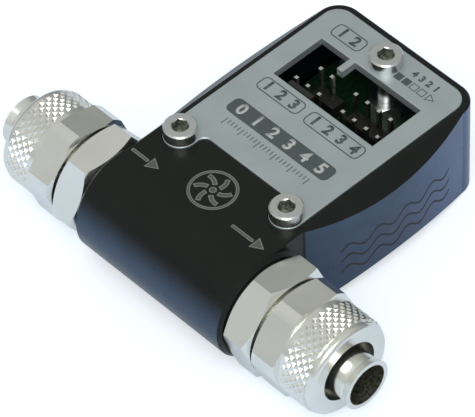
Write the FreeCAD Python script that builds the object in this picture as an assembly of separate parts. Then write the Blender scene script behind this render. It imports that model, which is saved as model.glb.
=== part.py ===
"""Turbine flow meter: a round measuring tube with an electronics housing behind it.

Millimetres, +Z up.  X runs along the flow, from inlet (-X) to outlet (+X).  Y runs from the
tube to the back of the housing.  While it is modelled, the flow axis lies over Y = 0 and every
depth is counted from it; save() then moves the pieces so that the origin is at the centre of
the whole meter, on the surface that it rests on.
"""
import FreeCAD
import Part
import math
import os

V = FreeCAD.Vector
X_AXIS = V(1, 0, 0)
Z_AXIS = V(0, 0, 1)

# ---- Driving dimensions ----------------------------------------------------------------------

# Body: measuring tube and housing
tube_r = 9.5
tube_chamfer = 0.6
housing_width = 31.4
housing_depth = 47.5
housing_corner_r = 4.0
body_edge_break = 0.3
bulge_depth = 2.35
bulge_front = 8.8
floor_thickness = 2.5
cavity_side_wall = 2.5
cavity_back_wall = 2.2
cavity_front = 13.2
cavity_corner_r = 2.0
sensor_pocket_width = 12.0
sensor_pocket_front = 8.0
sensor_pocket_below = 1.6
sensor_pocket_above = 3.5

# Label plate
plate_thickness = 1.5
plate_proud = 0.3
plate_side_margin = 1.15
plate_back_margin = 1.3
plate_front = 11.85
plate_corner_r = 3.0
plate_ear_fillet = 1.5
plate_gap = 0.15
plate_edge_break = 0.15
window_width = 21.84
window_length = 10.55
window_screw_gap = 3.3
key_tooth_x = -4.1
key_tooth_width = 1.2
key_tooth_length = 2.85

# Screws: M3 with a low head, and M2 for the board
screw_side_margin = 3.95
front_screw_y = 9.35
back_screw_margin = 5.15
m3_head_r = 2.75
m3_head_height = 2.0
m3_r = 1.45
m3_hole_r = 1.5
m3_clearance_r = 1.65
m3_socket_af = 2.5
m3_socket_depth = 1.3
front_screw_length = 8.5
front_hole_depth = 9.5
nut_af = 5.5
nut_height = 2.4
m2_head_r = 1.9
m2_head_height = 1.6
m2_r = 0.95
m2_hole_r = 1.0
m2_clearance_r = 1.1
m2_socket_af = 1.5
m2_socket_depth = 0.9
m2_length = 5.0
screw_tip_gap = 0.6
head_chamfer = 0.25
left_socket_turn = 90.0
right_socket_turn = 60.0
back_socket_turn = 90.0
board_nut_turn = 0.0

# Circuit board
board_thickness = 1.6
board_height = 4.9
board_gap = 0.3
board_tongue_gap = 0.4
board_screw_margin = 2.3
boss_r = 2.2
back_boss_r = 3.0

# Pin headers
pin_pitch = 2.54
pin_width = 0.64
pin_fit = 0.02
pin_tip_chamfer = 0.128
pin_hole_r = 0.5
pin_tip_depth = 2.0
pin_below_board = 1.4
header_height = 2.5
front_row_inset = 3.2
back_row_inset = 3.3
alarm_x = -6.61
alarm_pin_count = 3
bus_x = 4.97
bus_pin_count = 4
temp_x = -6.54
temp_pin_count = 2
usb_x = 3.81
usb_pin_count = 4
lock_wall_width = 5.0
lock_wall_thickness = 0.9
lock_wall_reach = 0.65
lock_wall_height = 8.4

# Parts on the board
sensor_size = (2.9, 1.6, 1.1)
sensor_front_gap = 0.5
chip_width = 7.0
chip_height = 1.0
chip_off_middle = 1.9
chip_legs = 8
chip_leg_pitch = 0.8
chip_leg_width = 0.35
chip_leg_length = 1.0
chip_leg_height = 0.3
capacitor_size = (2.0, 1.25, 0.9)
capacitor_spacing = 6.2
capacitor_row_offset = 4.0

# Measuring chamber and rotor
chamber_r = 5.0
chamber_half_length = 5.0
seat_wall = 0.55
support_fit = 0.05
support_length = 3.0
support_rim = 0.6
support_hub_r = 1.8
vane_thickness = 0.8
vane_count = 3
ring_thickness = 0.6
ring_groove_gap = 0.05
ring_groove_depth = 0.45
ring_radial_width = 1.0
ring_opening = 50.0
rotor_hub_r = 2.6
rotor_end_float = 0.15
hub_nose_chamfer = 0.8
blade_count = 4
blade_length = 4.6
blade_thickness = 0.55
blade_lead = 26.0
blade_tip_clearance = 0.3
blade_root_depth = 0.52
blade_overrun = 0.235
shaft_r = 0.5
bearing_clearance = 0.03
bearing_wall = 0.5
bearing_length = 1.6
shaft_end_gap = 0.2
magnet_r = 0.6
magnet_length = 3.0
magnet_circle_r = 1.7
magnet_count = 2

# Hose fittings and union nuts
port_depth = 6.8
port_thread_r = 6.5
thread_clearance = 0.05
port_relief = 0.1
hex_af = 17.0
hex_chamfer_angle = 30.0
seal_thickness = 0.3
seal_edge_gap = 0.5
fitting_hex_length = 5.3
neck_length = 0.6
neck_r = 6.2
nut_thread_r = 6.9
nut_thread_length = 5.3
seat_cone_r = 6.0
tail_r = 4.0
lip_r = 4.36
lip_length = 1.2
fitting_bore_r = 3.5
fitting_length_outside = 22.1
union_corner_r = 9.25
union_hex_length = 5.1
union_hex_bevel = 0.25
union_grip_length = 5.6
union_grip_r = 8.4
union_collar_length = 0.5
union_collar_r = 8.1
union_end_round = 0.9
union_hole_r = 5.25
union_thread_length = 6.6
inlet_hex_turn = 5.0
inlet_nut_turn = 47.0
outlet_hex_turn = -12.0
outlet_nut_turn = 53.0

# ---- Sizes that follow -----------------------------------------------------------------------

axis_z = tube_r
body_top = 2 * tube_r
half_width = housing_width / 2
bulge_back = housing_depth - housing_corner_r
tube_half = half_width + tube_chamfer
plate_top = body_top + plate_proud
plate_bottom = plate_top - plate_thickness
plate_half = half_width - plate_side_margin
plate_back = housing_depth - plate_back_margin
front_screw_x = half_width - screw_side_margin
ear_r = plate_half - front_screw_x
back_screw_y = housing_depth - back_screw_margin
window_back = back_screw_y - window_screw_gap
window_front = window_back - window_length
front_row_y = window_front + front_row_inset
back_row_y = window_back - back_row_inset

cavity_half = half_width - cavity_side_wall
cavity_back = housing_depth - cavity_back_wall
board_bottom = floor_thickness + board_height
board_top = board_bottom + board_thickness
board_half = cavity_half - board_gap
board_front = cavity_front + board_gap
board_back = cavity_back - board_gap
chip_y = (board_front + front_row_y) / 2 - chip_off_middle
capacitor_rows = (chip_y - capacitor_row_offset, chip_y + capacitor_row_offset)
tongue_half = sensor_pocket_width / 2 - board_tongue_gap
tongue_front = sensor_pocket_front + board_tongue_gap
board_screw_x = board_half - board_screw_margin
board_screw_y = board_front + board_screw_margin
pin_top = plate_top - pin_tip_depth
pin_bottom = board_bottom - pin_below_board
header_top = board_top + header_height

seat_r = chamber_r + seat_wall
support_r = seat_r - support_fit
support_inner_r = support_r - support_rim
support_end = chamber_half_length + support_length
ring_end = support_end + ring_thickness
groove_r = seat_r + ring_groove_depth
port_bore_r = port_thread_r + thread_clearance
port_start = tube_half - port_depth
bearing_r = shaft_r + bearing_clearance
bearing_outer_r = bearing_r + bearing_wall
rotor_half = chamber_half_length - rotor_end_float
shaft_half = chamber_half_length + bearing_length - shaft_end_gap
blade_tip_r = chamber_r - blade_tip_clearance

hex_corner_r = hex_af / math.sqrt(3)
fitting_inner_end = port_start + port_relief
seal_end = tube_half + seal_thickness
fitting_hex_end = seal_end + fitting_hex_length
union_start = fitting_hex_end + neck_length
fitting_thread_end = union_start + nut_thread_length
fitting_tip = tube_half + fitting_length_outside
union_bore_r = nut_thread_r + thread_clearance
union_grip_start = union_start + union_hex_length
union_grip_end = union_grip_start + union_grip_length
union_collar_end = union_grip_end + union_collar_length
union_end = union_collar_end + union_end_round
origin_shift = V(0, -(housing_depth - tube_r) / 2, 0)


# ---- Helpers ---------------------------------------------------------------------------------

def block(x0, x1, y0, y1, z0, z1):
    return Part.makeBox(x1 - x0, y1 - y0, z1 - z0, V(x0, y0, z0))


def post(radius, x, y, z0, z1):
    return Part.makeCylinder(radius, z1 - z0, V(x, y, z0), Z_AXIS)


def along_flow(radius, x0, x1):
    return Part.makeCylinder(radius, x1 - x0, V(x0, 0, axis_z), X_AXIS)


def turned(profile):
    """A solid of revolution about the flow axis, from (x, radius) corners."""
    points = [V(x, 0, axis_z + radius) for x, radius in profile]
    wire = Part.makePolygon(points + points[:1])
    return Part.Face(wire).revolve(V(0, 0, axis_z), X_AXIS, 360)


def hexagon(across_flats, centre, axis, length, turn=0.0):
    """A hexagonal prism that starts at centre and runs along axis."""
    corner_r = across_flats / math.sqrt(3)
    side = V(0, 1, 0) if axis == X_AXIS else V(1, 0, 0)
    up = axis.cross(side)
    corners = []
    for k in range(6):
        angle = math.radians(turn + 60 * k)
        corners.append(centre + side * (corner_r * math.cos(angle)) + up * (corner_r * math.sin(angle)))
    return Part.Face(Part.makePolygon(corners + corners[:1])).extrude(axis * length)


def rounded_block(half, y0, y1, z0, z1, radius):
    shape = block(-half, half, y0, y1, z0, z1)
    upright = [e for e in shape.Edges if abs(e.Vertexes[0].Z - e.Vertexes[1].Z) > 1e-6]
    return shape.makeFillet(radius, upright)


def mirrored(shape):
    """The inlet side's copy of an outlet piece."""
    return shape.mirror(V(0, 0, 0), X_AXIS)


def turned_about_flow(shape, angle):
    copy = shape.copy()
    copy.rotate(V(0, 0, axis_z), X_AXIS, angle)
    return copy


def save(name, shape):
    placed = shape.copy()
    placed.translate(origin_shift)
    placed.exportStep("parts/%s.step" % name)


# ---- Body ------------------------------------------------------------------------------------

def plate_outline(grow, z0, z1):
    """The label plate's outline, larger by grow all round: ears in front, round corners behind."""
    half = plate_half + grow
    ear = ear_r + grow
    front = plate_front - grow
    back = plate_back + grow
    corner = plate_corner_r + grow
    inner = front_screw_x - ear
    hollow = plate_ear_fillet - grow
    slant = math.sqrt(0.5)

    def arc(a, b, c):
        return Part.Arc(V(a[0], a[1], z0), V(b[0], b[1], z0), V(c[0], c[1], z0)).toShape()

    def line(a, b):
        return Part.LineSegment(V(a[0], a[1], z0), V(b[0], b[1], z0)).toShape()

    def right_side():
        ear_out = (half, front_screw_y)
        ear_tip = (front_screw_x, front_screw_y - ear)
        ear_in = (inner, front_screw_y)
        hollow_start = (inner, front - hollow)
        hollow_mid = (inner - hollow + hollow * slant, front - hollow + hollow * slant)
        hollow_end = (inner - hollow, front)
        corner_start = (half, back - corner)
        corner_mid = (half - corner + corner * slant, back - corner + corner * slant)
        corner_end = (half - corner, back)
        return [
            line((0, front), hollow_end),
            arc(hollow_end, hollow_mid, hollow_start),
            line(hollow_start, ear_in),
            arc(ear_in, ear_tip, ear_out),
            line(ear_out, corner_start),
            arc(corner_start, corner_mid, corner_end),
            line(corner_end, (0, back)),
        ]

    edges = right_side()
    edges += [mirrored(edge) for edge in right_side()]
    wire = Part.Wire(Part.__sortEdges__(edges))
    return Part.Face(wire).extrude(V(0, 0, z1 - z0))


def housing_shell():
    """The housing's outer form: square-cut at the front, bulged sides, chamfers that fade out."""
    core = block(-half_width, half_width, 0, housing_depth, 0, body_top)
    corners = [e for e in core.Edges
               if abs(e.Vertexes[0].Z - e.Vertexes[1].Z) > 1e-6 and e.Vertexes[0].Y > housing_depth / 2]
    core = core.makeFillet(housing_corner_r, corners)
    rims = [e for e in core.Edges
            if abs(e.Vertexes[0].Z - e.Vertexes[-1].Z) < 1e-6 and max(v.Y for v in e.Vertexes) > 1e-6]
    core = core.makeChamfer(body_edge_break, rims)
    middle = (bulge_front + bulge_back) / 2
    chord = Part.LineSegment(V(0, bulge_back, 0), V(0, bulge_front, 0)).toShape()
    sides = []
    for side in (-1, 1):
        start = V(side * half_width, bulge_front, 0)
        crown = V(side * (half_width + bulge_depth), middle, 0)
        end = V(side * half_width, bulge_back, 0)
        bow = Part.Arc(start, crown, end).toShape()
        back_edge = Part.LineSegment(end, V(0, bulge_back, 0)).toShape()
        front_edge = Part.LineSegment(V(0, bulge_front, 0), start).toShape()
        wire = Part.Wire([bow, back_edge, chord, front_edge])
        sides.append(Part.Face(wire).extrude(V(0, 0, body_top)))
    reach = bulge_depth + 1.0
    start_x = half_width - body_edge_break
    section = [(start_x, 0), (start_x + reach, reach), (start_x + reach, body_top - reach),
               (start_x, body_top)]
    outline = section + [(-x, z) for x, z in reversed(section)]
    points = [V(x, 0, z) for x, z in outline]
    envelope = Part.Face(Part.makePolygon(points + points[:1])).extrude(V(0, housing_depth, 0))
    return core.fuse([side.common(envelope) for side in sides]).removeSplitter()


def flow_tube():
    return turned([
        (-tube_half, 0),
        (-tube_half, tube_r - tube_chamfer),
        (-half_width, tube_r),
        (half_width, tube_r),
        (tube_half, tube_r - tube_chamfer),
        (tube_half, 0),
    ])


def flow_passage():
    """The bore from end to end: chamber, bearing seats, ring grooves and threaded ports."""
    cuts = [along_flow(chamber_r, -chamber_half_length - 1, chamber_half_length + 1)]
    groove_start = support_end - ring_groove_gap
    groove_end = ring_end + ring_groove_gap
    for side in (1, -1):
        seat = along_flow(seat_r, chamber_half_length, port_start + 1)
        groove = along_flow(groove_r, groove_start, groove_end)
        port = along_flow(port_bore_r, port_start, tube_half + 1)
        for cut in (seat, groove, port):
            cuts.append(cut if side > 0 else mirrored(cut))
    return cuts


def flow_body():
    shell = housing_shell().fuse(flow_tube()).removeSplitter()
    cavity = rounded_block(cavity_half, cavity_front, cavity_back, floor_thickness, body_top + 1,
                           cavity_corner_r)
    sensor_pocket = block(-sensor_pocket_width / 2, sensor_pocket_width / 2, sensor_pocket_front,
                          cavity_front + 1, board_bottom - sensor_pocket_below,
                          board_top + sensor_pocket_above)
    recess = plate_outline(plate_gap, plate_bottom, body_top + 1)
    body = shell.cut([cavity, sensor_pocket, recess] + flow_passage())
    bosses = [post(back_boss_r, 0, back_screw_y, floor_thickness - 1, board_bottom)]
    holes = [post(m3_hole_r, 0, back_screw_y, board_bottom - back_hole_depth(), board_bottom + 1)]
    for side in (-1, 1):
        bosses.append(post(boss_r, side * board_screw_x, board_screw_y, floor_thickness - 1, board_bottom))
        holes.append(post(m2_hole_r, side * board_screw_x, board_screw_y, floor_thickness, board_bottom + 1))
        holes.append(post(m3_hole_r, side * front_screw_x, front_screw_y, plate_bottom - front_hole_depth,
                          body_top))
    return body.fuse(bosses).cut(holes).removeSplitter()


def back_hole_depth():
    return board_height - screw_tip_gap


# ---- Label plate and fasteners ---------------------------------------------------------------

def label_plate():
    plate = plate_outline(0, plate_bottom, plate_top)
    window = block(-window_width / 2, window_width / 2, window_front, window_back, plate_bottom - 1,
                   plate_top + 1)
    tooth = block(key_tooth_x - key_tooth_width / 2, key_tooth_x + key_tooth_width / 2,
                  window_back - key_tooth_length, window_back + 1, plate_bottom - 1, plate_top + 1)
    holes = [post(m3_clearance_r, 0, back_screw_y, plate_bottom - 1, plate_top + 1)]
    for side in (-1, 1):
        holes.append(post(m3_clearance_r, side * front_screw_x, front_screw_y, plate_bottom - 1,
                          plate_top + 1))
    plate = plate.cut([window.cut(tooth)] + holes)
    rims = [e for e in plate.Edges if all(abs(v.Z - plate_top) < 1e-6 for v in e.Vertexes)]
    return plate.makeChamfer(plate_edge_break, rims)


def socket_screw(x, y, under_head, length, head_r, head_height, shank_r, socket_af, socket_depth, turn):
    """A cap screw with a hexagon socket; its head stands on the height under_head."""
    head = post(head_r, x, y, under_head, under_head + head_height)
    top = under_head + head_height
    rim = [e for e in head.Edges if len(e.Vertexes) == 1 and abs(e.Vertexes[0].Z - top) < 1e-6]
    head = head.makeChamfer(head_chamfer, rim)
    shank = post(shank_r, x, y, under_head - length, under_head)
    socket = hexagon(socket_af, V(x, y, top - socket_depth), Z_AXIS, socket_depth + 1, turn)
    corner_r = socket_af / math.sqrt(3)
    lead_in = Part.makeCone(corner_r - head_chamfer, corner_r + head_chamfer, 2 * head_chamfer,
                            V(x, y, top - head_chamfer), Z_AXIS)
    return head.fuse(shank).cut([socket, lead_in]).removeSplitter()


def m3_screw(x, y, length, turn):
    return socket_screw(x, y, plate_top, length, m3_head_r, m3_head_height, m3_r, m3_socket_af,
                        m3_socket_depth, turn)


def front_screws():
    return Part.makeCompound([
        m3_screw(-front_screw_x, front_screw_y, front_screw_length, left_socket_turn),
        m3_screw(front_screw_x, front_screw_y, front_screw_length, right_socket_turn)])


def back_screw():
    tip = board_bottom - back_hole_depth() + screw_tip_gap
    return m3_screw(0, back_screw_y, plate_top - tip, back_socket_turn)


def board_nut():
    nut = hexagon(nut_af, V(0, back_screw_y, board_top), Z_AXIS, nut_height, board_nut_turn)
    corner_r = nut_af / math.sqrt(3)
    round_off = Part.makeCone(corner_r + nut_height, nut_af / 2, nut_height + corner_r - nut_af / 2,
                              V(0, back_screw_y, board_top - corner_r + nut_af / 2), Z_AXIS)
    return nut.common(round_off).cut(post(m3_hole_r, 0, back_screw_y, board_top - 1, header_top + 1))


def board_screws():
    screws = [socket_screw(side * board_screw_x, board_screw_y, board_top, m2_length, m2_head_r,
                           m2_head_height, m2_r, m2_socket_af, m2_socket_depth, 0)
              for side in (-1, 1)]
    return Part.makeCompound(screws)


# ---- Electronics -----------------------------------------------------------------------------

headers = {
    "alarm": (alarm_pin_count, alarm_x, front_row_y),
    "bus": (bus_pin_count, bus_x, front_row_y),
    "temp": (temp_pin_count, temp_x, back_row_y),
    "usb": (usb_pin_count, usb_x, back_row_y),
}


def pin_places(count, centre_x):
    first = centre_x - pin_pitch * (count - 1) / 2
    return [first + pin_pitch * k for k in range(count)]


def square_pin(x, y, grow, z0, z1):
    half = pin_width / 2 + grow
    return block(x - half, x + half, y - half, y + half, z0, z1)


def circuit_board():
    board = rounded_block(board_half, board_front, board_back, board_bottom, board_top,
                          cavity_corner_r - board_gap)
    tongue = block(-tongue_half, tongue_half, tongue_front, board_front + 1, board_bottom, board_top)
    holes = [post(m3_clearance_r, 0, back_screw_y, board_bottom - 1, board_top + 1)]
    for side in (-1, 1):
        holes.append(post(m2_clearance_r, side * board_screw_x, board_screw_y, board_bottom - 1,
                          board_top + 1))
    for count, centre_x, row_y in headers.values():
        for x in pin_places(count, centre_x):
            holes.append(post(pin_hole_r, x, row_y, board_bottom - 1, board_top + 1))
    return board.fuse(tongue).cut(holes).removeSplitter()


def header_base(count, centre_x, row_y, with_lock):
    half = pin_pitch * count / 2
    base = block(centre_x - half, centre_x + half, row_y - pin_pitch / 2, row_y + pin_pitch / 2,
                 board_top, header_top)
    if with_lock:
        front = row_y - pin_pitch / 2 - lock_wall_reach
        foot = block(centre_x - half, centre_x + half, front, row_y, board_top, header_top)
        wall = block(centre_x - lock_wall_width / 2, centre_x + lock_wall_width / 2, front,
                     front + lock_wall_thickness, board_top, board_top + lock_wall_height)
        base = base.fuse([foot, wall])
    holes = [square_pin(x, row_y, pin_fit, board_top - 1, header_top + 1)
             for x in pin_places(count, centre_x)]
    return base.cut(holes).removeSplitter()


def pin_row(count, centre_x, row_y):
    pins = []
    for x in pin_places(count, centre_x):
        pin = square_pin(x, row_y, 0, pin_bottom, pin_top)
        tip = [e for e in pin.Edges if min(v.Z for v in e.Vertexes) > pin_top - 1e-6]
        pins.append(pin.makeChamfer(pin_tip_chamfer, tip))
    return Part.makeCompound(pins)


def processor_chip():
    half = chip_width / 2
    chip = block(-half, half, chip_y - half, chip_y + half, board_top, board_top + chip_height)
    legs = []
    first = -chip_leg_pitch * (chip_legs - 1) / 2
    reach = half + chip_leg_length
    for k in range(chip_legs):
        place = first + chip_leg_pitch * k
        low = place - chip_leg_width / 2
        high = place + chip_leg_width / 2
        leg_top = board_top + chip_leg_height
        legs.append(block(low, high, chip_y - reach, chip_y + reach, board_top, leg_top))
        legs.append(block(-reach, reach, chip_y + low, chip_y + high, board_top, leg_top))
    return chip.fuse(legs).removeSplitter()


def hall_sensor():
    width, depth, height = sensor_size
    front = tongue_front + sensor_front_gap
    return block(-width / 2, width / 2, front, front + depth, board_top, board_top + height)


def board_capacitors():
    width, depth, height = capacitor_size
    capacitors = []
    for side in (-1, 1):
        for row in capacitor_rows:
            x = side * capacitor_spacing
            capacitors.append(block(x - width / 2, x + width / 2, row - depth / 2, row + depth / 2,
                                    board_top, board_top + height))
    return Part.makeCompound(capacitors)


# ---- Measuring chamber -----------------------------------------------------------------------

def outlet_support():
    rim = along_flow(support_r, chamber_half_length, support_end)
    rim = rim.cut(along_flow(support_inner_r, chamber_half_length - 1, support_end + 1))
    hub = along_flow(support_hub_r, chamber_half_length, support_end)
    vane = block(chamber_half_length, support_end, -vane_thickness / 2, vane_thickness / 2, axis_z,
                 axis_z + (support_inner_r + support_r) / 2)
    vanes = [turned_about_flow(vane, 360 * k / vane_count) for k in range(vane_count)]
    socket = along_flow(bearing_outer_r, chamber_half_length - 1, chamber_half_length + bearing_length)
    return hub.fuse([rim] + vanes).cut(socket).removeSplitter()


def outlet_bearing():
    bush = along_flow(bearing_outer_r, chamber_half_length, chamber_half_length + bearing_length)
    return bush.cut(along_flow(bearing_r, chamber_half_length - 1, chamber_half_length + bearing_length + 1))


def outlet_retaining_ring():
    outer_r = groove_r - ring_groove_gap
    ring = along_flow(outer_r, support_end, ring_end)
    ring = ring.cut(along_flow(outer_r - ring_radial_width, support_end - 1, ring_end + 1))
    reach = outer_r + 1
    half_angle = math.radians(ring_opening / 2)
    spread = reach * math.tan(half_angle)
    wedge_points = [V(support_end - 1, 0, axis_z), V(support_end - 1, -spread, axis_z - reach),
                    V(support_end - 1, spread, axis_z - reach)]
    wedge = Part.Face(Part.makePolygon(wedge_points + wedge_points[:1])).extrude(V(ring_thickness + 2, 0, 0))
    return ring.cut(wedge)


def rotor_blade():
    """One twisted blade: a ruled loft between a section inside the hub and one past the tip."""
    sections = []
    for radius in (rotor_hub_r - blade_root_depth, blade_tip_r + blade_overrun):
        pitch = math.atan(2 * math.pi * radius / blade_lead)
        half_chord = blade_length / math.cos(pitch) / 2
        along = V(math.cos(pitch), math.sin(pitch), 0)
        across = V(-math.sin(pitch), math.cos(pitch), 0)
        centre = V(0, 0, axis_z + radius)
        corners = [centre + along * (half_chord * a) + across * (blade_thickness / 2 * b)
                   for a, b in ((-1, -1), (1, -1), (1, 1), (-1, 1))]
        sections.append(Part.makePolygon(corners + corners[:1]))
    return Part.makeLoft(sections, True, True)


def magnet_places():
    return [360 * k / magnet_count for k in range(magnet_count)]


def magnet(grow):
    """The first magnet, or with grow its pocket, which runs out past the rotor's inlet face."""
    start = V(-rotor_half - grow, 0, axis_z + magnet_circle_r)
    return Part.makeCylinder(magnet_r, magnet_length + grow, start, X_AXIS)


def turbine_rotor():
    hub = turned([
        (-rotor_half, 0),
        (-rotor_half, rotor_hub_r),
        (rotor_half - hub_nose_chamfer, rotor_hub_r),
        (rotor_half, rotor_hub_r - hub_nose_chamfer),
        (rotor_half, 0),
    ])
    blade = rotor_blade()
    blades = [turned_about_flow(blade, 360 * k / blade_count) for k in range(blade_count)]
    limit = along_flow(blade_tip_r, -rotor_half, rotor_half)
    rotor = hub.fuse([b.common(limit) for b in blades])
    pockets = [turned_about_flow(magnet(1.0), angle) for angle in magnet_places()]
    return rotor.cut(pockets + [along_flow(shaft_r, -rotor_half - 1, rotor_half + 1)]).removeSplitter()


def rotor_magnets():
    return Part.makeCompound([turned_about_flow(magnet(0), angle) for angle in magnet_places()])


def rotor_shaft():
    return along_flow(shaft_r, -shaft_half, shaft_half)


# ---- Fittings, seals and union nuts ----------------------------------------------------------

def turned_hexagon(x0, x1, corner_r, start_run, end_run, turn):
    """A hexagon turned down to corner_r and chamfered to its flats over a run at each end."""
    prism = hexagon(hex_af, V(x0, 0, axis_z), X_AXIS, x1 - x0, turn)
    face_r = hex_af / 2
    barrel = turned([(x0, 0), (x0, face_r), (x0 + start_run, corner_r), (x1 - end_run, corner_r),
                     (x1, face_r), (x1, 0)])
    return prism.common(barrel)


def chamfer_run(corner_r):
    """How far along the axis the chamfer of a hexagon's corners reaches."""
    return (corner_r - hex_af / 2) * math.tan(math.radians(hex_chamfer_angle))


def outlet_fitting(turn):
    stem = turned([
        (fitting_inner_end, 0),
        (fitting_inner_end, port_thread_r),
        (fitting_hex_end, port_thread_r),
        (fitting_hex_end, neck_r),
        (union_start, neck_r),
        (union_start, nut_thread_r),
        (fitting_thread_end, nut_thread_r),
        (fitting_thread_end, seat_cone_r),
        (fitting_thread_end + seat_cone_r - tail_r, tail_r),
        (fitting_tip - lip_length, tail_r),
        (fitting_tip, lip_r),
        (fitting_tip, 0),
    ])
    run = chamfer_run(hex_corner_r)
    head = turned_hexagon(seal_end, fitting_hex_end, hex_corner_r, run, run, turn)
    bore = along_flow(fitting_bore_r, fitting_inner_end - 1, fitting_tip + 1)
    return stem.fuse(head).cut(bore).removeSplitter()


def outlet_seal():
    outer_r = tube_r - tube_chamfer - seal_edge_gap
    seal = along_flow(outer_r, tube_half, seal_end)
    return seal.cut(along_flow(port_bore_r, tube_half - 1, seal_end + 1))


def outlet_nut(turn):
    """The union nut: short hexagon, round grip, plain collar and rounded end."""
    shell = turned([
        (union_start, 0),
        (union_start, hex_af / 2),
        (union_grip_start, hex_af / 2),
        (union_grip_start, union_grip_r),
        (union_grip_end, union_grip_r),
        (union_grip_end, union_collar_r),
        (union_end, union_collar_r),
        (union_end, 0),
    ])
    end_edge = [e for e in shell.Edges if len(e.Vertexes) == 1
                and abs(e.Vertexes[0].X - union_end) < 1e-6
                and abs(abs(e.Vertexes[0].Z - axis_z) - union_collar_r) < 1e-6]
    shell = shell.makeFillet(union_end_round, end_edge)
    thread_end = union_start + union_thread_length
    cone_end = thread_end + union_bore_r - union_hole_r
    bore = turned([
        (union_start - 1, 0),
        (union_start - 1, union_bore_r),
        (thread_end, union_bore_r),
        (cone_end, union_hole_r),
        (union_end + 1, union_hole_r),
        (union_end + 1, 0),
    ])
    head = turned_hexagon(union_start, union_grip_start, union_corner_r, chamfer_run(union_corner_r),
                          union_hex_bevel, turn)
    return shell.fuse(head).cut(bore).removeSplitter()


# ---- Build -----------------------------------------------------------------------------------

os.makedirs("parts", exist_ok=True)

pieces = {
    "flow_body": flow_body(),
    "label_plate": label_plate(),
    "front_screws": front_screws(),
    "back_screw": back_screw(),
    "board_nut": board_nut(),
    "circuit_board": circuit_board(),
    "board_screws": board_screws(),
    "processor_chip": processor_chip(),
    "hall_sensor": hall_sensor(),
    "board_capacitors": board_capacitors(),
    "turbine_rotor": turbine_rotor(),
    "rotor_magnets": rotor_magnets(),
    "rotor_shaft": rotor_shaft(),
    "outlet_support": outlet_support(),
    "outlet_bearing": outlet_bearing(),
    "outlet_retaining_ring": outlet_retaining_ring(),
    "outlet_seal": outlet_seal(),
    "outlet_fitting": outlet_fitting(outlet_hex_turn),
    "outlet_nut": outlet_nut(outlet_nut_turn),
    "inlet_fitting": mirrored(outlet_fitting(inlet_hex_turn)),
    "inlet_nut": mirrored(outlet_nut(inlet_nut_turn)),
}
for part in ("support", "bearing", "retaining_ring", "seal"):
    pieces["inlet_" + part] = mirrored(pieces["outlet_" + part])
for name, (count, centre_x, row_y) in headers.items():
    pieces[name + "_header"] = header_base(count, centre_x, row_y, name == "alarm")
    pieces[name + "_pins"] = pin_row(count, centre_x, row_y)

for name, shape in pieces.items():
    save(name, shape)
    print("%-22s %2d solid(s) %9.2f mm3 %s" % (name, len(shape.Solids), shape.Volume, shape.isValid()))
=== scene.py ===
import bpy
import bmesh
import math
from mathutils import Matrix, Vector
from mathutils.bvhtree import BVHTree


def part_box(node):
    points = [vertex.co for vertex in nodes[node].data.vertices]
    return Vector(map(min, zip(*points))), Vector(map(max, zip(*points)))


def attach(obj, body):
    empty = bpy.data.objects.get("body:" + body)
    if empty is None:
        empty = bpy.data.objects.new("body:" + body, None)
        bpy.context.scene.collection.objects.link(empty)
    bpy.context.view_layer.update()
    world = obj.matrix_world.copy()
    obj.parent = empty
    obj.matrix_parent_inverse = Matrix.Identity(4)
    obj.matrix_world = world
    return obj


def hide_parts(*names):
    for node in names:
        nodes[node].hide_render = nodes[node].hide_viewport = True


# A turbine flow meter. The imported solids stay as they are: this script gives them their
# finishes, knurls the union nuts, prints the plain markings and sets up the studio.

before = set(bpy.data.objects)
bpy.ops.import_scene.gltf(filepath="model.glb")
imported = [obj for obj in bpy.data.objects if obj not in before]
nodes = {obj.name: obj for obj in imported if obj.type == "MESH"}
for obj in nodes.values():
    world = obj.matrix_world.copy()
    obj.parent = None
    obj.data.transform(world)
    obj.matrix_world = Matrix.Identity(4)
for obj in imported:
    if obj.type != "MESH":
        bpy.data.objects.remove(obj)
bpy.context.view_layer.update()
mm = 0.001


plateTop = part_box("label_plate")[1].z
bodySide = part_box("flow_body")[1].x
sealLow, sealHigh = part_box("outlet_seal")
axisY = (sealLow.y + sealHigh.y) / 2        # the flow axis runs through the seal's middle
axisZ = (sealLow.z + sealHigh.z) / 2
tubeTop = 2 * axisZ                         # the tube rests on the ground
print("frame loaded:", len(nodes), "nodes")


# Helpers that every finish shares.
def startMaterial(name):
    material = bpy.data.materials.new(name)
    material.use_nodes = True
    tree = material.node_tree
    shader = tree.nodes["Principled BSDF"]
    coords = tree.nodes.new("ShaderNodeTexCoord")
    return material, tree, shader, coords.outputs["Object"]


def noiseNode(tree, coords, scale, detail=4.0, stretch=None):
    noise = tree.nodes.new("ShaderNodeTexNoise")
    noise.inputs["Scale"].default_value = scale
    noise.inputs["Detail"].default_value = detail
    if stretch:
        mapping = tree.nodes.new("ShaderNodeMapping")
        mapping.inputs["Scale"].default_value = stretch
        tree.links.new(coords, mapping.inputs["Vector"])
        coords = mapping.outputs["Vector"]
    tree.links.new(coords, noise.inputs["Vector"])
    return noise.outputs["Fac"]


def rampNode(tree, fac, stops):
    ramp = tree.nodes.new("ShaderNodeValToRGB")
    elements = ramp.color_ramp.elements
    for spot, (place, colour) in zip(elements, (stops[0], stops[-1])):
        spot.position = place
        spot.color = (*colour, 1)
    for place, colour in stops[1:-1]:
        elements.new(place).color = (*colour, 1)
    tree.links.new(fac, ramp.inputs["Fac"])
    return ramp.outputs["Color"]


def spreadNode(tree, fac, low, high, start=0.0, end=1.0):
    # Eases from low to high while fac goes from start to end.
    spread = tree.nodes.new("ShaderNodeMapRange")
    spread.interpolation_type = "SMOOTHSTEP"
    spread.inputs["From Min"].default_value = start
    spread.inputs["From Max"].default_value = end
    spread.inputs["To Min"].default_value = low
    spread.inputs["To Max"].default_value = high
    tree.links.new(fac, spread.inputs["Value"])
    return spread.outputs["Result"]


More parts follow.
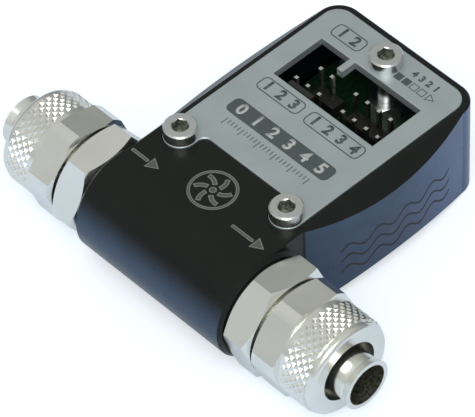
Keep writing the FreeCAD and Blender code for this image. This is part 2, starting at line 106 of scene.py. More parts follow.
def mathNode(tree, operation, *values):
    node = tree.nodes.new("ShaderNodeMath")
    node.operation = operation
    for socket, value in zip(node.inputs, values):
        if isinstance(value, (int, float)):
            socket.default_value = value
        else:
            tree.links.new(value, socket)
    return node.outputs[0]


def mixColours(tree, factor, one, other):
    mixed = tree.nodes.new("ShaderNodeMix")
    mixed.data_type = "RGBA"
    tree.links.new(factor, mixed.inputs["Factor"])
    for socket, colour in (("A", one), ("B", other)):
        tree.links.new(colour, next(item for item in mixed.inputs
                                    if item.name == socket and item.type == "RGBA"))
    return next(item for item in mixed.outputs if item.type == "RGBA")


def bumpNode(tree, shader, height, strength, depth):
    bump = tree.nodes.new("ShaderNodeBump")
    bump.inputs["Strength"].default_value = strength
    bump.inputs["Distance"].default_value = depth * mm
    tree.links.new(height, bump.inputs["Height"])
    tree.links.new(bump.outputs["Normal"], shader.inputs["Normal"])


def shade(colour, factor):
    return tuple(min(1.0, value * factor) for value in colour)


drift = {"scale": 160, "detail": 3.0, "between": (0.3, 0.7)}    # slow change over a surface
grainDetail = 2.0


def driftNode(tree, coords):
    return noiseNode(tree, coords, drift["scale"], drift["detail"])


def driftColour(tree, fac, colour, wander):
    # The colour, a little darker and a little paler by turns.
    low, high = drift["between"]
    return rampNode(tree, fac, [(low, shade(colour, 1 - wander)),
                                (high, shade(colour, 1 + wander))])


# One finish: a base colour that wanders a little, a roughness that wanders with it, and a
# grain of a height in mm.
finishes = {
    "satinPlate": {
        "colour": (0.490, 0.548, 0.566), "wander": 0.05, "metallic": 0.72,
        "rough": (0.36, 0.46), "grain": 7000, "grainHeight": 0.010, "strength": 0.22,
    },
    "brightNickel": {
        "colour": (0.860, 0.855, 0.810), "wander": 0.04, "metallic": 1.0,
        "rough": (0.16, 0.23), "grain": 1500, "grainHeight": 0.004, "strength": 0.10,
    },
    "screwSteel": {
        "colour": (0.640, 0.650, 0.640), "wander": 0.07, "metallic": 1.0,
        "rough": (0.20, 0.32), "grain": 5000, "grainHeight": 0.008, "strength": 0.20,
    },
    "shaftSteel": {
        "colour": (0.550, 0.555, 0.560), "wander": 0.06, "metallic": 1.0,
        "rough": (0.18, 0.26), "grain": 6000, "grainHeight": 0.004, "strength": 0.15,
    },
    "headerPlastic": {
        "colour": (0.0100, 0.0105, 0.0095), "wander": 0.25, "metallic": 0.0,
        "rough": (0.45, 0.60), "grain": 4000, "grainHeight": 0.010, "strength": 0.25,
    },
    "lockPlastic": {
        "colour": (0.0160, 0.0160, 0.0150), "wander": 0.20, "metallic": 0.0,
        "rough": (0.40, 0.55), "grain": 4000, "grainHeight": 0.010, "strength": 0.25,
    },
    "tinnedPins": {
        "colour": (0.700, 0.695, 0.650), "wander": 0.10, "metallic": 1.0,
        "rough": (0.20, 0.34), "grain": 3500, "grainHeight": 0.006, "strength": 0.18,
    },
    "acetal": {
        "colour": (0.720, 0.715, 0.680), "wander": 0.04, "metallic": 0.0,
        "rough": (0.32, 0.42), "grain": 2500, "grainHeight": 0.006, "strength": 0.15,
    },
    "bushBrown": {
        "colour": (0.230, 0.160, 0.100), "wander": 0.15, "metallic": 0.0,
        "rough": (0.40, 0.50), "grain": 5000, "grainHeight": 0.006, "strength": 0.2,
    },
    "sealRubber": {
        "colour": (0.0090, 0.0090, 0.0095), "wander": 0.20, "metallic": 0.0,
        "rough": (0.55, 0.70), "grain": 3000, "grainHeight": 0.012, "strength": 0.35,
    },
    "capacitorBrown": {
        "colour": (0.300, 0.200, 0.120), "wander": 0.15, "metallic": 0.0,
        "rough": (0.40, 0.50), "grain": 4000, "grainHeight": 0.006, "strength": 0.2,
    },
    "plateInk": {
        "colour": (0.072, 0.090, 0.098), "wander": 0.10, "metallic": 0.0,
        "rough": (0.42, 0.52), "grain": 6000, "grainHeight": 0.006, "strength": 0.2,
    },
    "barInk": {
        "colour": (0.068, 0.088, 0.094), "wander": 0.12, "metallic": 0.0,
        "rough": (0.36, 0.46), "grain": 6000, "grainHeight": 0.006, "strength": 0.2,
    },
    "paleInk": {
        "colour": (0.470, 0.490, 0.480), "wander": 0.06, "metallic": 0.0,
        "rough": (0.42, 0.52), "grain": 6000, "grainHeight": 0.006, "strength": 0.2,
    },
    "etchedGrey": {
        "colour": (0.100, 0.108, 0.095), "wander": 0.12, "metallic": 0.25,
        "rough": (0.42, 0.55), "grain": 9000, "grainHeight": 0.010, "strength": 0.3,
    },
    "etchedLine": {
        "colour": (0.215, 0.225, 0.200), "wander": 0.10, "metallic": 0.25,
        "rough": (0.40, 0.50), "grain": 9000, "grainHeight": 0.010, "strength": 0.3,
    },
    "wallEtch": {
        "colour": (0.0060, 0.0070, 0.0090), "wander": 0.20, "metallic": 0.0,
        "rough": (0.50, 0.62), "grain": 9000, "grainHeight": 0.010, "strength": 0.3,
    },
}


def makeFinish(name):
    look = finishes[name]
    material, tree, shader, coords = startMaterial(name)
    slow = driftNode(tree, coords)
    tree.links.new(driftColour(tree, slow, look["colour"], look["wander"]),
                   shader.inputs["Base Color"])
    tree.links.new(spreadNode(tree, slow, *look["rough"]), shader.inputs["Roughness"])
    shader.inputs["Metallic"].default_value = look["metallic"]
    grain = noiseNode(tree, coords, look["grain"], grainDetail)
    bumpNode(tree, shader, grain, look["strength"], look["grainHeight"])
    return material


boardLook = {
    "bare": (0.0050, 0.0185, 0.0085),       # solder mask beside the tracks
    "track": (0.0065, 0.0290, 0.0120),      # and over them
    "trackEdge": (0.45, 0.55),
    "trackScale": 260.0,
    "trackWarp": 9.0,
    "trackHeight": 0.02,                    # mm
    "strength": 0.4,
    "rough": (0.18, 0.30),
    "smears": 300,
}


def makeBoardFinish():
    # Solder mask over copper tracks, which lift it a little and lighten it.
    material, tree, shader, coords = startMaterial("boardGreen")
    wave = tree.nodes.new("ShaderNodeTexWave")
    wave.inputs["Scale"].default_value = boardLook["trackScale"]
    wave.inputs["Distortion"].default_value = boardLook["trackWarp"]
    tree.links.new(coords, wave.inputs["Vector"])
    foot, head = boardLook["trackEdge"]
    colour = rampNode(tree, wave.outputs["Fac"], [(foot, boardLook["bare"]),
                                                  (head, boardLook["track"])])
    tree.links.new(colour, shader.inputs["Base Color"])
    smears = noiseNode(tree, coords, boardLook["smears"])
    tree.links.new(spreadNode(tree, smears, *boardLook["rough"]), shader.inputs["Roughness"])
    bumpNode(tree, shader, wave.outputs["Fac"], boardLook["strength"], boardLook["trackHeight"])
    return material


bodyLook = {
    "blasted": (0.0050, 0.0066, 0.0052),    # faces that look up or down, and the tube's ends
    "paintedSheen": (0.068, 0.096, 0.142),        # upright faces get a painted steel-blue sheen, standing in for the floor's reflection
    "paintedSheenFar": (0.102, 0.140, 0.238),         # the painted sheen turns paler along the side walls
    "paintedSheenFarFrom": (0.004, 0.022),            # between these places along Y, in metres
    "paintedSheenRear": (0.040, 0.049, 0.064),          # and the painted sheen is darker round the back wall
    "paintedSheenRearFrom": (0.35, 0.85),               # as a face turns this far to the back
    "upright": (0.08, 0.66),                # how far a face may lean and still be upright
    "tubeBack": 9.3,                        # mm behind the flow axis, where the tube ends
    "endTurn": 2.0,                         # how soon a face on the tube counts as its end
    "wander": 0.10,
    "rough": (0.25, 0.31),
    "specular": 0.26,
    "grain": 9000,
    "millMarks": 5200,
    "millDetail": 1.0,
    "millStretch": (0.04, 0.04, 1.0),       # the marks run round the walls
    "markHeight": 0.008,
    "strength": 0.2,
}


def makeBodyFinish():
    # Black anodised aluminium: blasted top, underside and tube ends, and milled walls that carry
    # a painted steel-blue sheen in place of the reflection they catch.
    material, tree, shader, coords = startMaterial("anodisedBody")
    facing = tree.nodes.new("ShaderNodeSeparateXYZ")
    tree.links.new(coords.node.outputs["Normal"], facing.inputs["Vector"])
    level = mathNode(tree, "ABSOLUTE", facing.outputs["Z"])
    standing = spreadNode(tree, level, 1.0, 0.0, *bodyLook["upright"])
    place = tree.nodes.new("ShaderNodeSeparateXYZ")
    tree.links.new(coords, place.inputs["Vector"])
    onTube = mathNode(tree, "LESS_THAN", place.outputs["Y"], axisY + bodyLook["tubeBack"] * mm)
    sideways = mathNode(tree, "MULTIPLY", mathNode(tree, "ABSOLUTE", facing.outputs["X"]),
                        bodyLook["endTurn"])
    tubeEnd = mathNode(tree, "MULTIPLY", onTube, mathNode(tree, "MINIMUM", sideways, 1.0))
    upright = mathNode(tree, "MULTIPLY", standing,
                       mathNode(tree, "SUBTRACT", 1.0, tubeEnd))
    slow = driftNode(tree, coords)
    # Painted sheen: steel blue and metallic on the upright walls, paler towards the back and
    # darker on faces that turn to the back; the top, underside and tube ends keep the body's own
    # black.
    tones = {tone: driftColour(tree, slow, bodyLook[tone], bodyLook["wander"])
             for tone in ("blasted", "paintedSheen", "paintedSheenFar", "paintedSheenRear")}
    further = spreadNode(tree, place.outputs["Y"], 0.0, 1.0, *bodyLook["paintedSheenFarFrom"])
    sides = mixColours(tree, further, tones["paintedSheen"], tones["paintedSheenFar"])
    behind = spreadNode(tree, facing.outputs["Y"], 0.0, 1.0, *bodyLook["paintedSheenRearFrom"])
    sides = mixColours(tree, behind, sides, tones["paintedSheenRear"])
    tree.links.new(mixColours(tree, upright, tones["blasted"], sides),
                   shader.inputs["Base Color"])
    tree.links.new(upright, shader.inputs["Metallic"])
    tree.links.new(spreadNode(tree, slow, *bodyLook["rough"]), shader.inputs["Roughness"])
    shader.inputs["Specular IOR Level"].default_value = bodyLook["specular"]
    grain = noiseNode(tree, coords, bodyLook["grain"], grainDetail)
    marks = noiseNode(tree, coords, bodyLook["millMarks"], bodyLook["millDetail"],
                      bodyLook["millStretch"])
    relief = tree.nodes.new("ShaderNodeMix")
    tree.links.new(upright, relief.inputs["Factor"])
    tree.links.new(grain, relief.inputs["A"])
    tree.links.new(marks, relief.inputs["B"])
    bumpNode(tree, shader, relief.outputs["Result"], bodyLook["strength"],
             bodyLook["markHeight"])
    return material


screwLow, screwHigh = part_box("front_screws")
backLow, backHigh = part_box("back_screw")
headRadius = (screwHigh.y - screwLow.y) / 2

# Metal that is bright outside, with painted shade inside a hole: the hole's radius in mm, and its
# middle and the heights that it lies between in metres.
socketLook = {
    "outside": finishes["screwSteel"]["colour"],
    "rough": finishes["screwSteel"]["rough"],
    "inside": (0.17, 0.18, 0.15),
    "insideRough": 0.34,
    "marks": 1900,
    "radius": 1.47,
    "above": plateTop + 0.3 * mm,
    "below": screwHigh.z - 0.22 * mm,
}
hollowLooks = {
    "fittingNickel": {
        "outside": finishes["brightNickel"]["colour"],
        "rough": finishes["brightNickel"]["rough"],
        "inside": (0.120, 0.120, 0.088),
        "insideRough": 0.42,
        "marks": 2400,
        "radius": 3.6,
        "above": -1.0,      # at any height
        "below": 1.0,
        "middle": {"Y": axisY, "Z": axisZ},
    },
    "frontScrewSteel": {**socketLook, "middle": {"X": screwHigh.x - headRadius,
                                                 "Y": screwHigh.y - headRadius}},
    "backScrewSteel": {**socketLook, "middle": {"X": 0.0, "Y": (backLow.y + backHigh.y) / 2}},
}
# What every such metal shares.
hollowMarks = {
    "wander": 0.04,
    "detail": 3.0,
    "between": (0.36, 0.66),
    "tones": (0.5, 1.9),        # how dark and how pale the painted shade inside gets along the turning marks
    "dulled": -0.3,             # less metallic inside
    "relief": (0.05, 0.95),     # share of the marks outside, and what is added inside
    "height": 0.05,             # mm
    "strength": 0.5,
}


def holeMask(tree, coords, look):
    # 1 inside the hole, and inside its mirror image on the other side of the meter.
    place = tree.nodes.new("ShaderNodeSeparateXYZ")
    tree.links.new(coords, place.inputs["Vector"])
    squared = 0.0
    for axis, middle in look["middle"].items():
        value = place.outputs[axis]
        if axis == "X":
            value = mathNode(tree, "ABSOLUTE", value)
        away = mathNode(tree, "SUBTRACT", value, middle)
        squared = mathNode(tree, "MULTIPLY_ADD", away, away, squared)
    near = mathNode(tree, "LESS_THAN", squared, (look["radius"] * mm) ** 2)
    above = mathNode(tree, "GREATER_THAN", place.outputs["Z"], look["above"])
    below = mathNode(tree, "LESS_THAN", place.outputs["Z"], look["below"])
    return mathNode(tree, "MULTIPLY", near, mathNode(tree, "MULTIPLY", above, below))


def makeHollowFinish(name):
    look = hollowLooks[name]
    material, tree, shader, coords = startMaterial(name)
    inside = holeMask(tree, coords, look)
    slow = driftNode(tree, coords)
    bright = driftColour(tree, slow, look["outside"], hollowMarks["wander"])
    marks = noiseNode(tree, coords, look["marks"], hollowMarks["detail"])
    # Painted shade inside the hole, streaked along the real turning marks.
    paintedHoleShade = rampNode(tree, marks, [(spot, shade(look["inside"], tone)) for spot, tone
                                  in zip(hollowMarks["between"], hollowMarks["tones"])])
    tree.links.new(mixColours(tree, inside, bright, paintedHoleShade), shader.inputs["Base Color"])
    rough = tree.nodes.new("ShaderNodeMix")
    tree.links.new(inside, rough.inputs["Factor"])
    tree.links.new(spreadNode(tree, slow, *look["rough"]), rough.inputs["A"])
    rough.inputs["B"].default_value = look["insideRough"]
    tree.links.new(rough.outputs["Result"], shader.inputs["Roughness"])
    tree.links.new(mathNode(tree, "MULTIPLY_ADD", inside, hollowMarks["dulled"], 1.0),
                   shader.inputs["Metallic"])
    share, added = hollowMarks["relief"]
    depth = mathNode(tree, "MULTIPLY_ADD", inside, added, share)
    bumpNode(tree, shader, mathNode(tree, "MULTIPLY", depth, marks), hollowMarks["strength"],
             hollowMarks["height"])
    return material


finished = {name: makeFinish(name) for name in finishes}
finished.update({name: makeHollowFinish(name) for name in hollowLooks})
finished["boardGreen"] = makeBoardFinish()
finished["anodisedBody"] = makeBodyFinish()

# Which finish each solid wears. The union nuts get theirs when they are knurled.
wears = {
    "anodisedBody": ["flow_body"],
    "satinPlate": ["label_plate"],
    "fittingNickel": ["outlet_fitting", "inlet_fitting"],
    "frontScrewSteel": ["front_screws"],
    "backScrewSteel": ["back_screw"],
    "screwSteel": ["board_nut", "board_screws", "outlet_retaining_ring", "inlet_retaining_ring"],
    "shaftSteel": ["rotor_shaft", "rotor_magnets"],
    "boardGreen": ["circuit_board"],
    "headerPlastic": ["bus_header", "temp_header", "usb_header", "processor_chip", "hall_sensor"],
    "lockPlastic": ["alarm_header"],
    "tinnedPins": ["alarm_pins", "bus_pins", "temp_pins", "usb_pins"],
    "acetal": ["turbine_rotor", "outlet_support", "inlet_support"],
    "bushBrown": ["outlet_bearing", "inlet_bearing"],
    "sealRubber": ["outlet_seal", "inlet_seal"],
    "capacitorBrown": ["board_capacitors"],
}


def dress(piece, *chosen):
    while len(piece.data.materials) < len(chosen):
        piece.data.materials.append(None)
    for slot, finish in zip(piece.material_slots, chosen * len(piece.material_slots)):
        slot.material = finished[finish]


for finish, names in wears.items():
    for name in names:
        dress(nodes[name], finish)
print("finishes made:", len(finished))


# Helpers that every new piece shares.
def meshFrom(name, bm):
    mesh = bpy.data.meshes.new(name)
    bm.to_mesh(mesh)
    bm.free()
    return mesh


def linkObject(name, data):
    made = bpy.data.objects.new(name, data)
    bpy.context.scene.collection.objects.link(made)
    return made


def evaluatedMesh(piece):
    depsgraph = bpy.context.evaluated_depsgraph_get()
    return bpy.data.meshes.new_from_object(piece.evaluated_get(depsgraph))


def madeVerts(geom):
    return [item for item in geom if isinstance(item, bmesh.types.BMVert)]


def addPiece(name, bm, chosen, body, smoothAngle=None):
    mesh = meshFrom(name, bm)
    piece = linkObject(name, mesh)
    dress(piece, *chosen)
    if smoothAngle is not None:
        mesh.shade_smooth()
        mesh.set_sharp_from_angle(angle=math.radians(smoothAngle))
    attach(piece, body)
    return piece


# The union nuts, with sunk diamonds round their grips; in mm.
knurl = {
    "start": 28.15,     # from the middle of the meter
    "row": 0.735,       # half a diamond's length along the flow
    "rows": 8,
    "around": 36,       # diamonds round the grip
    "ridge": 8.52,      # the net between the diamonds; above the grip, so each ridge stays flat
    "pit": 8.05,
    "clear": 9.6,       # the cutter's outside
    "smooth": 22,       # degrees; steeper edges stay sharp
}
weld = {"packed": 0.0005, "made": 0.001}    # mm within which corners are one


def fromAxis(vert):
    return Vector((0, vert.co.y - axisY, vert.co.z - axisZ))


def knurlCutter(side):
    # A ring whose inner wall is a net with a point inside every diamond; taken away from the
    # plain grip it leaves a sunk diamond for each point.
    bm = bmesh.new()
    start = side * knurl["start"] * mm
    reach = side * knurl["row"] * mm
    ridge = axisZ + knurl["ridge"] * mm
    clear = axisZ + knurl["clear"] * mm
    line = [bm.verts.new((start, axisY, clear))]
    for row in range(knurl["rows"] + 1):
        line.append(bm.verts.new((start + reach * row, axisY, ridge)))
    line.append(bm.verts.new((start + reach * knurl["rows"], axisY, clear)))
    for one, other in zip(line, line[1:] + line[:1]):
        bm.edges.new((one, other))
    bmesh.ops.spin(bm, geom=bm.verts[:] + bm.edges[:], cent=(0, axisY, axisZ), axis=(1, 0, 0),
                   dvec=(0, 0, 0), angle=2 * math.pi, steps=2 * knurl["around"], use_merge=True,
                   use_duplicate=False)
    bmesh.ops.remove_doubles(bm, verts=bm.verts, dist=weld["made"] * mm)
    step = math.pi / knurl["around"]
    between = (knurl["ridge"] + knurl["clear"]) / 2 * mm
    points = []
    net = []
    for vert in bm.verts:
        away = fromAxis(vert)
        if away.length > between:
            continue
        turn = round(math.atan2(away.y, away.z) / step)
        row = round((abs(vert.co.x) / mm - knurl["start"]) / knurl["row"])
        if (turn + row) % 2 and 0 < row < knurl["rows"]:
            points.append(vert)
        else:
            net.append(vert)
    bmesh.ops.connect_verts(bm, verts=net)
    for vert in points:
        vert.co -= fromAxis(vert).normalized() * (knurl["ridge"] - knurl["pit"]) * mm
    bmesh.ops.recalc_face_normals(bm, faces=bm.faces)
    return bm


def mergedCopy(node):
    bm = bmesh.new()
    bm.from_mesh(nodes[node].data)
    bmesh.ops.remove_doubles(bm, verts=bm.verts, dist=weld["packed"] * mm)
    return bm


def unionNut(node, body, side):
    piece = addPiece(node + "_knurled", mergedCopy(node), ["brightNickel"], body)
    cutter = linkObject("knurlCutter", meshFrom("knurlCutter", knurlCutter(side)))
    cut = piece.modifiers.new("knurl", "BOOLEAN")
    cut.operation = "DIFFERENCE"
    cut.solver = "EXACT"
    cut.object = cutter
    result = evaluatedMesh(piece)
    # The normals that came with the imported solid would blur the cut.
    result.attributes.remove(result.attributes["custom_normal"])
    piece.modifiers.clear()
    piece.data = result
    dress(piece, "brightNickel")
    result.shade_smooth()
    result.set_sharp_from_angle(angle=math.radians(knurl["smooth"]))
    bpy.data.objects.remove(cutter)
    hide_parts(node)
    print(node, "knurled:", len(result.polygons), "faces")


unionNut("outlet_nut", "outlet_union", 1)
unionNut("inlet_nut", "inlet_union", -1)


# The markings are thin closed inks that lie just over a surface; in mm.
ink = {"thickness": 0.02, "lift": 0.004, "cornerSteps": 8, "ringSteps": 72}
plateZ = plateTop + ink["lift"] * mm
topZ = tubeTop + ink["lift"] * mm


def roundedSheet(bm, low, high, radius):
    middle = (Vector(low) + Vector(high)) / 2
    size = Vector(high) - Vector(low)
    verts = bmesh.ops.create_grid(bm, x_segments=1, y_segments=1, size=0.5)["verts"]
    bmesh.ops.scale(bm, vec=(size.x, size.y, 1), verts=verts)
    bmesh.ops.translate(bm, vec=(middle.x, middle.y, 0), verts=verts)
    if radius:
        bmesh.ops.bevel(bm, geom=verts, offset=radius, offset_type="OFFSET",
                        segments=ink["cornerSteps"], profile=0.5, affect="VERTICES", material=-1)


def ringSheet(bm, centre, inner, outer):
    made = bmesh.ops.create_circle(bm, segments=ink["ringSteps"], radius=outer)["verts"]
    rim = [edge for edge in bm.edges if edge.verts[0] in made]
    inside = madeVerts(bmesh.ops.extrude_edge_only(bm, edges=rim)["geom"])
    bmesh.ops.scale(bm, vec=(inner / outer, inner / outer, 1), verts=inside)
    bmesh.ops.translate(bm, vec=(*centre, 0), verts=made + inside)


def arrowHead(bm, centre, size):
    # A triangle that points along the flow.
    verts = bmesh.ops.create_circle(bm, cap_ends=True, segments=3, radius=size)["verts"]
    bmesh.ops.rotate(bm, matrix=Matrix.Rotation(math.radians(-90), 3, "Z"), verts=verts)
    bmesh.ops.translate(bm, vec=(*centre, 0), verts=verts)


def rimLine(bm, width):
    # A line of the second finish round each sheet's edge.
    edged = bmesh.ops.inset_region(bm, faces=bm.faces[:], thickness=width, use_boundary=True,
                                   use_even_offset=True)["faces"]
    for face in edged:
        face.material_index = 1


def openMiddle(bm):
    # Keeps the rim line and takes the sheet inside it away.
    middle = [face for face in bm.faces if face.material_index == 0]
    bmesh.ops.delete(bm, geom=middle, context="FACES")
    for face in bm.faces:
        face.material_index = 0


def thicken(bm, z):
    # Turns flat faces into a thin closed ink that lies at height z.
    raised = madeVerts(bmesh.ops.extrude_face_region(bm, geom=bm.faces[:])["geom"])
    bmesh.ops.translate(bm, vec=(0, 0, ink["thickness"] * mm), verts=raised)
    bmesh.ops.translate(bm, vec=(0, 0, z), verts=bm.verts)
    bmesh.ops.recalc_face_normals(bm, faces=bm.faces)


def onBody(x, y):
    # A place in mm, counted across from the middle line and back from the tube's axis.
    return x * mm, axisY + y * mm


def sheetOnBody(bm, x, y, width, depth, corner=0.0):
    roundedSheet(bm, (*onBody(x, y), 0), (*onBody(x + width, y + depth), 0), corner * mm)


digits = {
    "bold": 0.040,          # how far a stroke grows, as a share of the height
    "curveSteps": 4,
    "barHeight": 3.1,
    "frameHeight": 2.75,
    "smallHeight": 1.75,
}


def numerals(name, text, height, spacing, centre, z, finish):
    curve = bpy.data.curves.new(name, "FONT")
    curve.body = text
    curve.size = height * mm
    curve.space_character = spacing
    curve.align_x = "CENTER"
    curve.align_y = "CENTER"
    curve.offset = digits["bold"] * height * mm
    curve.resolution_u = digits["curveSteps"]
    holder = linkObject(name + "Text", curve)
    flat = evaluatedMesh(holder)
    bpy.data.objects.remove(holder)
    bm = bmesh.new()
    bm.from_mesh(flat)
    bmesh.ops.remove_doubles(bm, verts=bm.verts, dist=weld["made"] * mm)
    bmesh.ops.translate(bm, vec=(*onBody(*centre), 0), verts=bm.verts)
    thicken(bm, z)
    addPiece(name, bm, [finish], "meter_body")


# The bar and the frames on the label plate: left, front, width, depth and corner in mm, then
# the numbers and how widely they stand.
plateMarks = {
    "scale_bar": ((-11.05, 17.9, 22.1, 3.25, 1.0), "0 1 2 3 4 5", 1.35),
    "alarm_frame": ((-11.15, 24.45, 9.15, 2.95, 0.95), "1 2 3", 1.25),
    "bus_frame": ((-0.65, 24.35, 11.85, 3.05, 0.95), "1 2 3 4", 1.25),
    "temp_frame": ((-11.05, 40.55, 6.35, 3.0, 0.95), "1 2", 1.2),
}
frameLine = 0.19    # mm

for mark, (place, text, spacing) in plateMarks.items():
    isFrame = mark.endswith("_frame")
    bm = bmesh.new()
    sheetOnBody(bm, *place)
    if isFrame:
        rimLine(bm, frameLine * mm)
        openMiddle(bm)
    thicken(bm, plateZ)
    addPiece(mark, bm, ["plateInk" if isFrame else "barInk"], "meter_body")
    left, front, width, depth, corner = place
    middle = (left + width / 2, front + depth / 2)
    if isFrame:
        numerals(mark.replace("frame", "numbers"), text, digits["frameHeight"], spacing, middle,
                 plateZ, "plateInk")
    else:
        numerals("scale_numbers", text, digits["barHeight"], spacing, middle,
                 plateZ + ink["thickness"] * mm, "paleInk")

# The tick line in front of the bar; in mm.
ticks = {
    "back": 16.9,       # where every tick ends, back from the tube's axis
    "first": -9.0,
    "step": 0.72,
    "count": 26,
    "every": 5,
    "width": 0.14,
    "short": 0.9,
    "long": 1.55,
}
bm = bmesh.new()
for tick in range(ticks["count"]):
    length = ticks["short"] if tick % ticks["every"] else ticks["long"]
    sheetOnBody(bm, ticks["first"] + tick * ticks["step"] - ticks["width"] / 2,
                ticks["back"] - length, ticks["width"], length)
thicken(bm, plateZ)
addPiece("tick_line", bm, ["plateInk"], "meter_body")

# Small signs beside the back screw: solid squares, then open ones and an open triangle, with
# the pin numbers behind them; in mm.
smallSigns = {
    "front": 41.0,
    "size": 1.35,
    "corner": 0.12,
    "first": 2.85,
    "step": 1.66,
    "solid": 2,
    "open": 2,
    "pointerPlace": 4.4,        # in steps from the first square's left side
    "pointerRadius": 0.95,
    "line": 0.13,
    "numbers": "4 3 2 1",
    "numbersAt": (7.3, 43.75),
    "spacing": 1.1,
}
squares = smallSigns["solid"] + smallSigns["open"]
bm = bmesh.new()
for place in range(squares + 1):
    sign = bmesh.new()
    if place < squares:
        sheetOnBody(sign, smallSigns["first"] + place * smallSigns["step"], smallSigns["front"],
                    smallSigns["size"], smallSigns["size"], smallSigns["corner"])
    else:
        across = smallSigns["first"] + smallSigns["pointerPlace"] * smallSigns["step"]
        arrowHead(sign, onBody(across, smallSigns["front"] + smallSigns["size"] / 2),
                  smallSigns["pointerRadius"] * mm)
    if place >= smallSigns["solid"]:
        rimLine(sign, smallSigns["line"] * mm)
        openMiddle(sign)
    bm.from_mesh(meshFrom("sign", sign))
thicken(bm, plateZ)
addPiece("pin_signs", bm, ["plateInk"], "meter_body")
numerals("pin_numbers", smallSigns["numbers"], digits["smallHeight"], smallSigns["spacing"],
         smallSigns["numbersAt"], plateZ, "plateInk")
print("plate printed")

# Etched signs on the body's top, in mm: a flow arrow at each end and a wheel with curved vanes.
topSigns = {
    "line": 0.16,
    "arrows": {"inlet_arrow": (-15.0, -8.95), "outlet_arrow": (7.2, 14.25)},    # tail and tip
    "arrowY": 2.15,
    "headRadius": 1.42,
    "shaft": 0.62,
    "shaftCorner": 0.2,
    "neckGap": 0.25,                # between the shaft and the head
    "wheelCentre": (0.0, 5.05),
    "ring": (3.52, 4.05),
    "hub": 0.62,
    "hubSteps": 32,
    "vanes": 6,
    "vaneStart": (1.08, 0.0),
    "vaneCentre": (0.5, 2.334),     # the vane is an arc about this point
    "vaneWidth": 0.80,
    "vaneSweep": 54,                # degrees
    "vaneSteps": 8,
}
for name, (tail, tip) in topSigns["arrows"].items():
    bm = bmesh.new()
    arrowHead(bm, onBody(tip - topSigns["headRadius"], topSigns["arrowY"]),
              topSigns["headRadius"] * mm)
    neck = tip - 1.5 * topSigns["headRadius"] - topSigns["neckGap"]
    sheetOnBody(bm, tail, topSigns["arrowY"] - topSigns["shaft"] / 2, neck - tail,
                topSigns["shaft"], topSigns["shaftCorner"])
    rimLine(bm, topSigns["line"] * mm)
    thicken(bm, topZ)
    addPiece(name, bm, ["etchedGrey", "etchedLine"], "meter_body")

bm = bmesh.new()
arcCentre = Vector((*topSigns["vaneCentre"], 0)) * mm
arcStart = Vector((*topSigns["vaneStart"], 0)) * mm
across = (arcStart - arcCentre).normalized() * topSigns["vaneWidth"] * mm / 2
ends = [bm.verts.new(arcStart - across), bm.verts.new(arcStart + across)]
edge = bm.edges.new(ends)
bmesh.ops.spin(bm, geom=ends + [edge], cent=arcCentre, axis=(0, 0, 1), dvec=(0, 0, 0),
               angle=math.radians(topSigns["vaneSweep"]), steps=topSigns["vaneSteps"],
               use_merge=False, use_duplicate=False)
vane = bm.verts[:] + bm.edges[:] + bm.faces[:]
for copy in range(1, topSigns["vanes"]):
    turn = Matrix.Rotation(2 * math.pi * copy / topSigns["vanes"], 3, "Z")
    copied = bmesh.ops.duplicate(bm, geom=vane)["geom"]
    bmesh.ops.rotate(bm, matrix=turn, verts=madeVerts(copied))
bmesh.ops.create_circle(bm, cap_ends=True, segments=topSigns["hubSteps"],
                        radius=topSigns["hub"] * mm)
bmesh.ops.translate(bm, vec=(*onBody(*topSigns["wheelCentre"]), 0), verts=bm.verts)
inner, outer = topSigns["ring"]
ringSheet(bm, onBody(*topSigns["wheelCentre"]), inner * mm, outer * mm)
bmesh.ops.recalc_face_normals(bm, faces=bm.faces)
rimLine(bm, topSigns["line"] * mm)
thicken(bm, topZ)
addPiece("wheel_sign", bm, ["etchedGrey", "etchedLine"], "meter_body")
print("body signs etched")

# Wave lines along the outlet side of the housing, laid on its curved wall; in mm.
waves = {
    "from": 15.5,       # back from the tube's axis
    "to": 39.5,
    "heights": (5.2, 7.6, 10.0),
    "swing": 0.85,
    "length": 6.0,
    "width": 0.42,
    "steps": 96,
    "lift": 0.012,
    "smooth": 40,       # degrees
}
bodyMesh = nodes["flow_body"].data
bodyTree = BVHTree.FromPolygons([vert.co for vert in bodyMesh.vertices],
                                [face.vertices for face in bodyMesh.polygons])
bm = bmesh.new()
for height in waves["heights"]:
    low = bm.verts.new((0, waves["from"], height - waves["width"] / 2))
    high = bm.verts.new((0, waves["from"], height + waves["width"] / 2))
    edge = bm.edges.new((low, high))
    stride = (waves["to"] - waves["from"]) / waves["steps"]
    for step in range(waves["steps"]):
        made = bmesh.ops.extrude_edge_only(bm, edges=[edge])["geom"]
        verts = madeVerts(made)
        edge = next(item for item in made if isinstance(item, bmesh.types.BMEdge)
                    and all(vert in verts for vert in item.verts))
        bmesh.ops.translate(bm, vec=(0, stride, 0), verts=verts)
for vert in bm.verts:
    swing = waves["swing"] * math.sin(2 * math.pi * (vert.co.y - waves["from"]) / waves["length"])
    along = axisY + vert.co.y * mm
    up = (vert.co.z + swing) * mm
    place, normal, index, far = bodyTree.ray_cast(Vector((bodySide + mm, along, up)),
                                                  Vector((-1, 0, 0)))
    vert.co = place + normal * waves["lift"] * mm
bmesh.ops.recalc_face_normals(bm, faces=bm.faces)
addPiece("wave_lines", bm, ["wallEtch"], "meter_body", waves["smooth"])
print("wall waves laid")


# The camera, with angles in degrees and the rest in mm.
cameraView = {
    "azimuth": 47.91,
    "elevation": 48.31,
    "roll": -2.24,
    "distance": 747.66,
    "aim": (3.24, -11.97, 15.76),
    "lens": 370.57,
    "sensor": 36.0,
    "farthest": 20000,
}


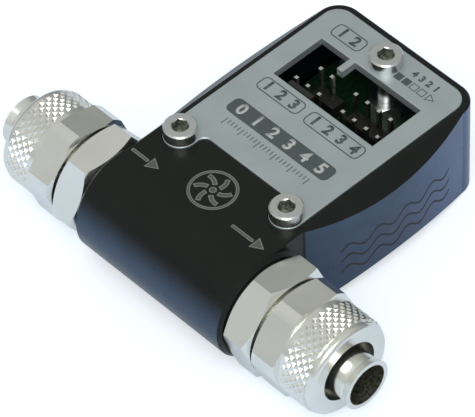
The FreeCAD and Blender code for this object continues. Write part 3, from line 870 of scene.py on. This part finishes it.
def makeCamera():
    data = bpy.data.cameras.new("camera")
    data.lens = cameraView["lens"]
    data.sensor_width = cameraView["sensor"]
    data.sensor_fit = "HORIZONTAL"
    data.clip_end = cameraView["farthest"] * mm
    camera = linkObject("camera", data)
    swing = Matrix.Rotation(math.radians(cameraView["azimuth"]), 4, "Z")
    tilt = Matrix.Rotation(math.radians(90 - cameraView["elevation"]), 4, "X")
    roll = Matrix.Rotation(math.radians(cameraView["roll"]), 4, "Z")
    turn = swing @ tilt @ roll
    aim = Vector(cameraView["aim"]) * mm
    back = turn @ Vector((0, 0, 1))
    camera.matrix_world = Matrix.Translation(aim + back * cameraView["distance"] * mm) @ turn
    bpy.context.scene.camera = camera


lamps = {
    # place and size in metres, power in watts, colour
    "key": ((0.42, -0.42, 0.88), 0.70, 4.2, (1.0, 1.0, 0.99)),
    "overhead": ((-0.10, 0.20, 1.00), 1.40, 0.8, (1.0, 1.0, 0.985)),
}


def makeLamps():
    for name, (place, size, power, colour) in lamps.items():
        data = bpy.data.lights.new(name, "AREA")
        data.shape = "SQUARE"
        data.size = size
        data.energy = power
        data.color = colour
        lamp = linkObject(name, data)
        lamp.location = place
        lamp.rotation_euler = (-Vector(place)).to_track_quat("-Z", "Y").to_euler()


stageLook = {
    "floorSize": 6.0,       # metres
    "floorDrop": 0.02,      # mm under the body, so the two faces never share a plane
    "floorColour": (0.70, 0.79, 0.92),
    "floorRough": 0.9,
    "paperScale": 40,
    "paperShade": 0.99,
    "ownLight": 0.50,       # what the floor adds for the camera
    "shine": 0.10,          # and for reflections
    # the sky's colours, from the horizon at 0.5 to straight above at 1
    "sky": [(0.50, (0.62, 0.65, 0.68)), (0.53, (0.39, 0.41, 0.42)), (0.60, (0.43, 0.45, 0.45)),
            (0.68, (0.47, 0.49, 0.48)), (0.78, (0.55, 0.57, 0.55)), (0.86, (0.56, 0.58, 0.56)),
            (1.0, (0.51, 0.53, 0.50))],
    "brightSide": 300,      # the sky is brightest towards this turn, in degrees
    "sideways": 0.42,       # and by this share
}


def makeFloor():
    bm = bmesh.new()
    bmesh.ops.create_grid(bm, x_segments=1, y_segments=1, size=stageLook["floorSize"] / 2)
    bmesh.ops.translate(bm, vec=(0, 0, -stageLook["floorDrop"] * mm), verts=bm.verts)
    mesh = meshFrom("floor", bm)
    floor = linkObject("floor", mesh)
    material, tree, shader, coords = startMaterial("floorPale")
    paper = noiseNode(tree, coords, stageLook["paperScale"])
    low, high = drift["between"]
    pale = stageLook["floorColour"]
    tree.links.new(rampNode(tree, paper, [(low, shade(pale, stageLook["paperShade"])),
                                          (high, pale)]), shader.inputs["Base Color"])
    shader.inputs["Roughness"].default_value = stageLook["floorRough"]
    shader.inputs["Specular IOR Level"].default_value = 0.0
    path = tree.nodes.new("ShaderNodeLightPath")
    shine = mathNode(tree, "MULTIPLY", path.outputs["Is Glossy Ray"], stageLook["shine"])
    strength = mathNode(tree, "MULTIPLY_ADD", path.outputs["Is Camera Ray"],
                        stageLook["ownLight"], shine)
    shader.inputs["Emission Color"].default_value = (1, 1, 1, 1)
    tree.links.new(strength, shader.inputs["Emission Strength"])
    mesh.materials.append(material)


def makeSky():
    world = bpy.data.worlds.new("studio")
    world.use_nodes = True
    sky = world.node_tree
    place = sky.nodes.new("ShaderNodeTexCoord")
    split = sky.nodes.new("ShaderNodeSeparateXYZ")
    sky.links.new(place.outputs["Generated"], split.inputs["Vector"])
    height = mathNode(sky, "MULTIPLY_ADD", split.outputs["Z"], 0.5, 0.5)
    backdrop = sky.nodes["Background"]
    sky.links.new(rampNode(sky, height, stageLook["sky"]), backdrop.inputs["Color"])
    bright = math.radians(stageLook["brightSide"])
    aside = mathNode(sky, "MULTIPLY_ADD", split.outputs["X"],
                     stageLook["sideways"] * math.cos(bright), 1.0)
    glow = mathNode(sky, "MULTIPLY_ADD", split.outputs["Y"],
                    stageLook["sideways"] * math.sin(bright), aside)
    sky.links.new(glow, backdrop.inputs["Strength"])
    bpy.context.scene.world = world


makeCamera()
makeLamps()
makeFloor()
makeSky()
bpy.context.scene.view_settings.view_transform = "Standard"
print("stage ready")
